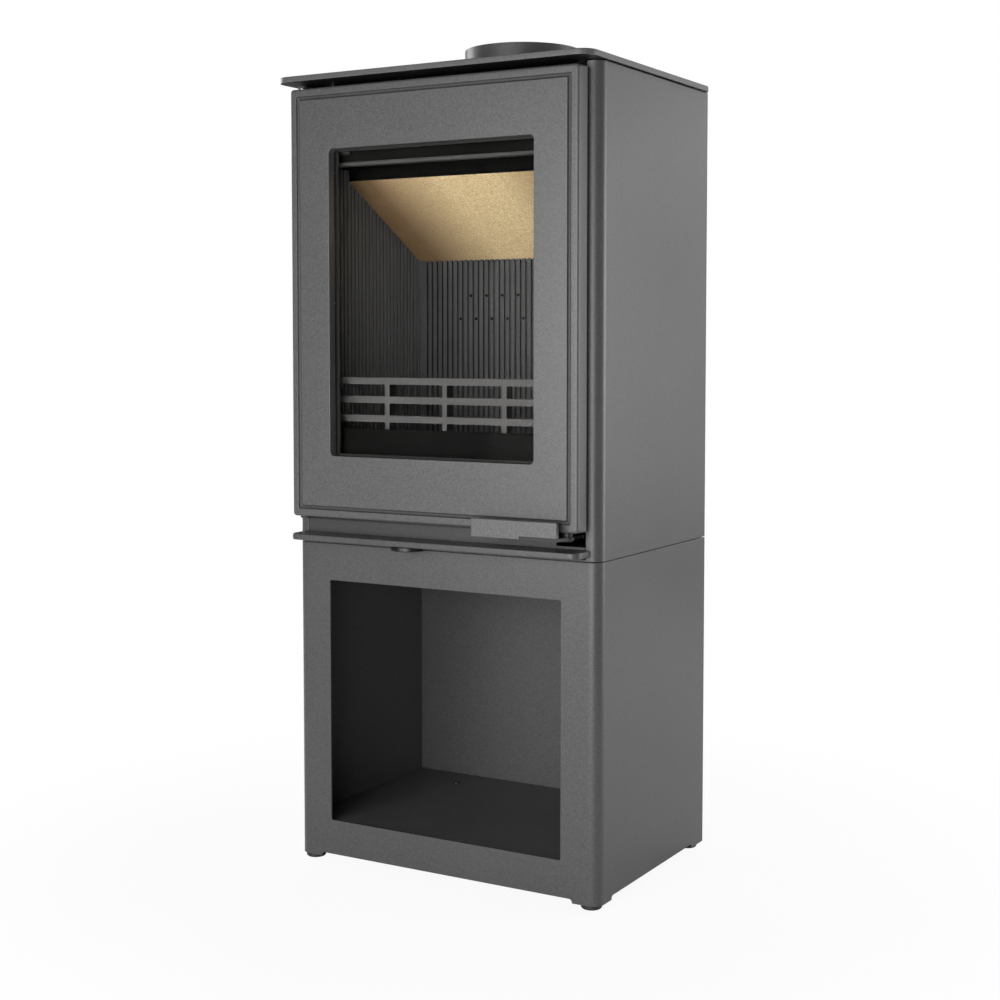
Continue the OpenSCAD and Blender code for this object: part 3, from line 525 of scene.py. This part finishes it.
def moulded(name, tone, rough=0.42):
    """Black moulded part with a fine eroded texture."""
    def surface(w):
        coat = use(w, STIPPLE, Colour=grey(tone), Grain_Size=0.6, Tone_Spread=0.3, Roughness=rough,
                   Roughness_Spread=0.2)
        settled = use(w, DUST, Amount=0.2, Drift_Size=0.02)["Mask"]
        return {"Base Color": w.mix(settled, coat["Colour"], grey(0.16, 0.03)),
                "Roughness": coat["Roughness"], "Height": (coat["Height"], 0.03 * MM)}
    return material(name, surface)


def fire_glass():
    """Clear ceramic glass. Light passes straight through it, so the firebox is lit as in a room."""
    made = bpy.data.materials.new("ceramic glass")
    w = blank(made)
    haze = w.noise(w.place(), 14.0, 4.0, 0.6)
    smears = use(w, WIPES, Roughness=0.02, Amount=0.02)["Roughness"]
    clear = w.add("ShaderNodeBsdfPrincipled", {
        "Base Color": w.mix(haze, (0.93, 0.92, 0.90, 1.0), (0.97, 0.96, 0.95, 1.0)),
        "Roughness": smears, "IOR": 1.06, "Transmission Weight": 1.0})
    through = w.add("ShaderNodeBsdfTransparent", {"Color": (0.93, 0.92, 0.90, 1.0)})
    shadow = w.add("ShaderNodeLightPath").outputs["Is Shadow Ray"]
    both = w.add("ShaderNodeMixShader", {0: shadow, 1: clear.outputs[0], 2: through.outputs[0]})
    w.add("ShaderNodeOutputMaterial", {"Surface": both.outputs[0]})
    return made


finishes = {
    "casing": painted("casing paint", 0.074, rough=0.37),
    # painted light and shade: the top plate paint is lighter than the casing so its edges read as lit, and
    # its underside is darkened
    "top_plate": painted("top plate paint with painted light", 0.100, rough=0.38, spread=0.22, dust=0.05, underside_shade=0.08),
    # painted shade: the lower panel is darker than the casing paint, and its band just under the door is
    # the door's painted shadow
    "lower_panel": painted("lower panel painted shade", 0.048, rough=0.45,
                           shadow_above=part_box("door_frame")[0].z - 4 * MM),
    "lip": painted("ash lip paint", 0.070, rough=0.36, dust=0.0, depth=0.04),
    "door": painted("door paint", 0.085, rough=0.37, grain=1.35, spread=0.36, depth=0.09),
    # painted shade: the groove round the door's face is darker than the door paint
    "door_groove_shade": painted("door groove painted shade", 0.042, rough=0.55, grain=1.2, dust=0.0),
    "arm": painted("handle arm paint", 0.035, rough=0.42, grain=0.8, dust=0.0, depth=0.04, shine=0.25),
    "handle": painted("handle paint", 0.106, rough=0.40, grain=1.3, spread=0.45, dust=0.0,
                      depth=0.04, warmth=0.01),
    "store_inside": painted("log store paint", 0.072, rough=0.50, dust=0.2),
    "firebox_steel": painted("firebox paint", 0.030, rough=0.55, grain=1.6, spread=0.4, dust=0.1),
    "liner": fluted("cast side liner", 0.105, "X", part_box("right_liner")[0].x),
    "back_liner": fluted("cast back liner", 0.046, "Y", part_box("back_liner")[0].y),
    "smoked": smoked("smoked steel"),
    "frame": smoked("front frame steel", 0.0065, 0.08),
    "deflector": smoked("deflector steel", grey_below=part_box("airwash_deflector")[0].z + 4 * MM),
    "bracket": painted("bracket paint", 0.030, grain=0.8),
    "dark_steel": moulded("blackened steel", 0.018, rough=0.45),
    "hearth": cast("hearth brick", 0.060, rough=0.75, grain=2.6, soot=0.5, dust=0.5, depth=0.3),
    "vermiculite": vermiculite(),
    # painted shade on the walls of the guard's slots, in its darkest soot colour
    "log_guard": cast("cast log guard", 0.045, rough=0.58, grain=1.5, soot=0.1, dust=0.0,
                      depth=0.10, soot_tone=0.003, warmth=-0.02, sides_in_shade=True),
    "glass": fire_glass(),
    "rope": rope_fibre(),
    "steel": bright_steel(),
    "black_parts": moulded("black knob", 0.006, rough=0.34),
    "feet": moulded("black feet", 0.024, rough=0.5),
}


# ---------------------------------------------------------------- CAD parts: finish and eased edges

# How far each part's edges are rounded over, in millimetres; the rest have 0.4
EASED = {
    "top_plate": 2.0, "ash_lip": 1.4, "log_guard": 0.8, "handle_grip": 0.9, "handle_arm": 0.7,
    "flue_collar": 0.8, "levelling_feet": 0.5, "air_slide_knob": 1.0, "hearth_brick": 1.2,
    "baffle_board": 1.2, "left_liner": 0.35, "right_liner": 0.35, "back_liner": 0.35,
    "front_sill": 0.8, "airwash_deflector": 0.4, "rear_heat_shield": 0.5, "store_shell": 0.45,
    "lower_front_panel": 0.4, "door_glass": 0.5,
}
SMALL_EDGE = 0.4
EASE_ANGLE = math.radians(32)
FLAT_ANGLE = math.radians(0.4)
SAME_POINT = 0.02 * MM


def ease_edges(obj, width, steps=3):
    """Joins the facets of flat faces and rounds the sharp edges."""
    weld = obj.modifiers.new("join", "WELD")
    weld.merge_threshold = SAME_POINT
    flat = obj.modifiers.new("flat faces", "DECIMATE")
    flat.decimate_type = "DISSOLVE"
    flat.angle_limit = FLAT_ANGLE
    bevel = obj.modifiers.new("eased edges", "BEVEL")
    bevel.width = width * MM
    bevel.segments = steps
    bevel.limit_method = "ANGLE"
    bevel.angle_limit = EASE_ANGLE
    bevel.use_clamp_overlap = True
    bevel.miter_outer = "MITER_ARC"
    shade = obj.modifiers.new("even shading", "WEIGHTED_NORMAL")
    shade.weight = 80


# Parts whose own finish differs from the rest of their slot
OWN_FINISH = {
    "back_liner": "back_liner", "front_sill": "smoked", "throat_plate": "smoked",
    "firebox_roof": "smoked", "airwash_deflector": "deflector", "firebox_front_frame": "frame",
    "deflector_brackets": "bracket", "lower_front_panel": "lower_panel", "ash_lip": "lip",
    "handle_arm": "arm", "handle_pivot_pin": "dark_steel", "pivot_spacer": "dark_steel",
    "latch_keeper": "dark_steel",
}


def dress(slots):
    """Gives every CAD part its finish from the record's slots."""
    for name, slot in slots.items():
        for place in nodes[name].material_slots:
            place.material = finishes[OWN_FINISH.get(name, slot)]
        ease_edges(nodes[name], EASED.get(name, SMALL_EDGE))


dress({part["node"]: part["material_slot"] for part in frame["record"]["subparts"]})


# ---------------------------------------------------------------- pieces

def piece(name, mesh, body, slot, replaced=(), finish=None):
    """Shows a mesh as a piece that rides on a body; its finish is its slot's unless named."""
    obj = bpy.data.objects.new(name, mesh)
    show(obj)
    mesh.materials.append(finishes[finish or slot])
    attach(obj, body)
    if replaced:
        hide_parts(*replaced)
    return obj


def mesh_from(name, points, faces, sharp):
    """A smooth mesh with its normals outward; edges past sharp degrees stay sharp."""
    mesh = bpy.data.meshes.new(name)
    mesh.from_pydata(points, [], faces)
    mesh.validate()
    bm = bmesh.new()
    bm.from_mesh(mesh)
    bmesh.ops.recalc_face_normals(bm, faces=bm.faces)
    bm.to_mesh(mesh)
    bm.free()
    mesh.shade_smooth()
    mesh.set_sharp_from_angle(angle=math.radians(sharp))
    return mesh


def rectangle_ring(half, low, high, radius, y, steps=8):
    """Points of a rounded rectangle seen from the front, all at one depth."""
    points = []
    for cx, cz, start in ((half - radius, high - radius, 0), (radius - half, high - radius, 90),
                          (radius - half, low + radius, 180), (half - radius, low + radius, 270)):
        for k in range(steps + 1):
            a = math.radians(start + 90 * k / steps)
            points.append((cx + radius * math.cos(a), y, cz + radius * math.sin(a)))
    return points


def skin(rings):
    """Faces between each ring and the next, and from the last back to the first."""
    points = [p for ring in rings for p in ring]
    count, size = len(rings), len(rings[0])
    faces = []
    for i in range(count):
        for k in range(size):
            a, b = i * size + k, i * size + (k + 1) % size
            c, d = ((i + 1) % count) * size + (k + 1) % size, ((i + 1) % count) * size + k
            faces.append((a, b, c, d))
    return points, faces


def make_door_frame():
    """The door's cast frame: rounded outer edge, groove round its face, window and glass pocket."""
    low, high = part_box("door_frame")
    glass_low, glass_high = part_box("door_glass")
    rope_low, rope_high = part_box("door_rope")
    gasket_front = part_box("glass_gasket")[0].y
    face, back, half = low.y, high.y, high.x
    edge_r, lap, pocket = 3.0 * MM, 12 * MM, 2 * MM
    rim, groove, groove_deep, lead = 9.5 * MM, 5 * MM, 2.2 * MM, 0.4 * MM
    window_r, rope_w, bed = 5.5 * MM, 10 * MM, 5 * MM

    def outer(inset, y, radius=1.2 * MM):
        return rectangle_ring(half - inset, low.z + inset, high.z - inset, radius, y)

    def window(grow, y):
        return rectangle_ring(glass_high.x - lap + grow, glass_low.z + lap - grow,
                              glass_high.z - lap + grow, window_r + grow, y)

    def about(box_low, box_high, grow, y, radius=1.0 * MM):
        return rectangle_ring(box_high.x + grow, box_low.z - grow, box_high.z + grow, radius, y)

    rings = [outer(0.6 * MM, back), outer(0.15 * MM, back - 0.15 * MM), outer(0.0, back - 0.6 * MM)]
    for k in range(7):
        a = math.radians(90 * k / 6)
        inset = edge_r * (1 - math.cos(a))
        rings.append(outer(inset, face + edge_r * (1 - math.sin(a)), 1.2 * MM + edge_r - inset * 0.5))
    rings += [outer(rim - lead, face), outer(rim - 0.12 * MM, face + 0.12 * MM)]
    groove_from = len(rings)
    for k in range(9):
        a = math.radians(180 * (k + 0.5) / 9)
        rings.append(outer(rim + groove / 2 * (1 - math.cos(a)),
                           face + 0.3 * MM + groove_deep * math.sin(a)))
    groove_to = len(rings)
    rings += [outer(rim + groove + 0.12 * MM, face + 0.12 * MM), outer(rim + groove + lead, face)]
    rings += [window(1.0 * MM, face), window(0.3 * MM, face + 0.3 * MM), window(0.0, face + 1.0 * MM),
              window(0.0, gasket_front)]
    rings += [about(glass_low, glass_high, pocket, gasket_front),
              about(glass_low, glass_high, pocket, back - 0.4 * MM),
              about(glass_low, glass_high, pocket + 0.4 * MM, back)]
    rings += [about(rope_low, rope_high, -rope_w - 0.3 * MM, back),
              about(rope_low, rope_high, -rope_w - 0.2 * MM, back - bed),
              about(rope_low, rope_high, 0.2 * MM, back - bed),
              about(rope_low, rope_high, 0.3 * MM, back)]
    mesh = mesh_from("door_cast_frame", *skin(rings), sharp=32)
    obj = piece("door_cast_frame", mesh, "door", "door", ("door_frame",))
    mesh.materials.append(finishes["door_groove_shade"])
    size = len(rings[0])
    for panel in mesh.polygons:
        first, last = min(panel.vertices) // size, max(panel.vertices) // size
        # the groove's faces take the darker paint, a painted shade
        panel.material_index = int(groove_from - 1 <= first and last <= groove_to)
    shade = obj.modifiers.new("even shading", "WEIGHTED_NORMAL")
    shade.keep_sharp = True


def make_rope():
    """Braided rope round the back of the door, its strands crossing in diamonds."""
    low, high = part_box("door_rope")
    wide, deep = 10 * MM, high.y - low.y
    across, tall = high.x - wide / 2, (high.z - low.z - wide) / 2
    middle_z, y = (low.z + high.z) / 2, (low.y + high.y) / 2
    bend, step = 9 * MM, 1.1 * MM
    path = []
    for cx, cz, start in ((across - bend, tall - bend, 0), (bend - across, tall - bend, 90),
                          (bend - across, bend - tall, 180), (across - bend, bend - tall, 270)):
        for k in range(13):
            a = math.radians(start + 90 * k / 12)
            path.append((cx + bend * math.cos(a), cz + bend * math.sin(a)))
    path.append(path[0])
    spots = [Vector(path[0])]
    for a, b in zip(path, path[1:]):
        a, b = Vector(a), Vector(b)
        count = max(1, round((b - a).length / step))
        spots += [a.lerp(b, (k + 1) / count) for k in range(count)]
    spots.pop()
    sides, strands, lay = 20, 10, 7.0 * MM
    squareness, relief = 3.2, 0.07
    rings, travelled = [], 0.0
    for k, spot in enumerate(spots):
        ahead, behind = spots[(k + 1) % len(spots)], spots[k - 1]
        along = (ahead - behind).normalized()
        out = Vector((along.y, -along.x))
        ring = []
        for s in range(sides):
            a = 2 * math.pi * s / sides
            square = (abs(math.cos(a)) ** squareness + abs(math.sin(a)) ** squareness) ** (-1 / squareness)
            turn = 2 * math.pi * travelled / lay
            weave = math.sin(strands / 2 * a + turn) * math.sin(strands / 2 * a - turn)
            reach = square * (1 - relief + relief * weave)
            ring.append((spot.x + out.x * reach * math.cos(a) * wide / 2,
                         y + reach * math.sin(a) * deep / 2,
                         middle_z + spot.y + out.y * reach * math.cos(a) * wide / 2))
        rings.append(ring)
        travelled += (ahead - spot).length
    mesh = mesh_from("door_sealing_rope", *skin(rings), sharp=80)
    piece("door_sealing_rope", mesh, "door", "rope", ("door_rope",))


def island_boxes(name):
    """The box of each separate solid in a CAD part."""
    bm = bmesh.new()
    bm.from_mesh(nodes[name].data)
    bmesh.ops.remove_doubles(bm, verts=bm.verts, dist=SAME_POINT / 2)
    left, boxes = set(bm.verts), []
    while left:
        todo, found = [left.pop()], []
        while todo:
            v = todo.pop()
            found.append(v.co.copy())
            for e in v.link_edges:
                other = e.other_vert(v)
                if other in left:
                    left.remove(other)
                    todo.append(other)
        boxes.append((Vector(np.min(found, 0)), Vector(np.max(found, 0))))
    bm.free()
    return sorted(boxes, key=lambda b: (round(b[0].x, 4), round(b[0].y, 4), round(b[0].z, 4)))


def make_screws(name, node, head, body="stove", finish=None):
    """Button-head screws with a hexagon socket, one for each solid of the CAD part."""
    sides = 36
    points, faces = [], []
    for low, high in island_boxes(node):
        axis = 2 if head == "up" else 1
        across = [k for k in range(3) if k != axis]
        centre = (low + high) / 2
        r = (high - low)[across[0]] / 2
        top, foot, thick = high[axis], low[axis], 0.45 * r
        # share of the head's radius, level along the axis, and whether the ring is a hexagon
        profile = [(0.02, top - thick * 0.62, 0), (0.46, top - thick * 0.62, 1), (0.46, top - 0.02 * r, 1),
                   (0.50, top, 1), (0.58, top, 0), (0.76, top - 0.06 * r, 0), (0.90, top - 0.16 * r, 0),
                   (0.985, top - 0.30 * r, 0), (1.0, top - thick, 0), (0.5, top - thick, 0),
                   (0.5, foot + 0.1 * r, 0), (0.42, foot, 0), (0.02, foot, 0)]
        start = len(points)
        for share, level, hexagon in profile:
            for s in range(sides):
                a = 2 * math.pi * s / sides
                reach = share * r
                if hexagon:
                    reach *= math.cos(math.pi / 6) / math.cos((a % (math.pi / 3)) - math.pi / 6)
                p = [0.0, 0.0, 0.0]
                p[axis] = level
                p[across[0]] = centre[across[0]] + reach * math.cos(a)
                p[across[1]] = centre[across[1]] + reach * math.sin(a)
                points.append(tuple(p))
        for i in range(len(profile) - 1):
            for s in range(sides):
                a, b = start + i * sides + s, start + i * sides + (s + 1) % sides
                faces.append((a, b, b + sides, a + sides))
        faces.append(tuple(start + s for s in range(sides)))
        faces.append(tuple(start + (len(profile) - 1) * sides + s for s in range(sides)))
    piece(name, mesh_from(name, points, faces, sharp=40), body, "steel", (node,), finish)


def make_baffle_strip():
    """Black steel channel over the front edge of the baffle board."""
    points = [v.co for v in nodes["baffle_board"].data.vertices]
    bottom, top = min(points, key=lambda p: p.y), max(points, key=lambda p: p.z)
    half = max(p.x for p in points)
    up = Vector((0.0, top.y - bottom.y, top.z - bottom.z))
    board = up.length
    up.normalize()
    back = Vector((0.0, up.z, -up.y))
    start = Vector((0.0, bottom.y, bottom.z))
    thick, lap, play = 1.0 * MM, 22 * MM, 0.05 * MM
    outline = [(-thick, 0.0), (-thick, board + thick), (lap, board + thick), (lap, board + play),
               (-play, board + play), (-play, 0.0)]
    ring = [start + back * along + up * high for along, high in outline]
    bm = bmesh.new()
    ends = [[bm.verts.new((x, p.y, p.z)) for p in ring] for x in (-half + MM, half - MM)]
    count = len(ring)
    for k in range(count):
        bm.faces.new((ends[0][k], ends[0][(k + 1) % count], ends[1][(k + 1) % count], ends[1][k]))
    bm.faces.new(ends[0])
    bm.faces.new(list(reversed(ends[1])))
    bmesh.ops.recalc_face_normals(bm, faces=bm.faces)
    mesh = bpy.data.meshes.new("baffle_edge_strip")
    bm.to_mesh(mesh)
    bm.free()
    ease_edges(piece("baffle_edge_strip", mesh, "stove", "firebox_steel", finish="smoked"), 0.3)


make_door_frame()
make_rope()
make_baffle_strip()
make_screws("floor_button_screws", "floor_screws", "up", finish="dark_steel")
make_screws("shield_button_screws", "heat_shield_screws", "back")
make_screws("retainer_button_screws", "retainer_screws", "back", body="door")
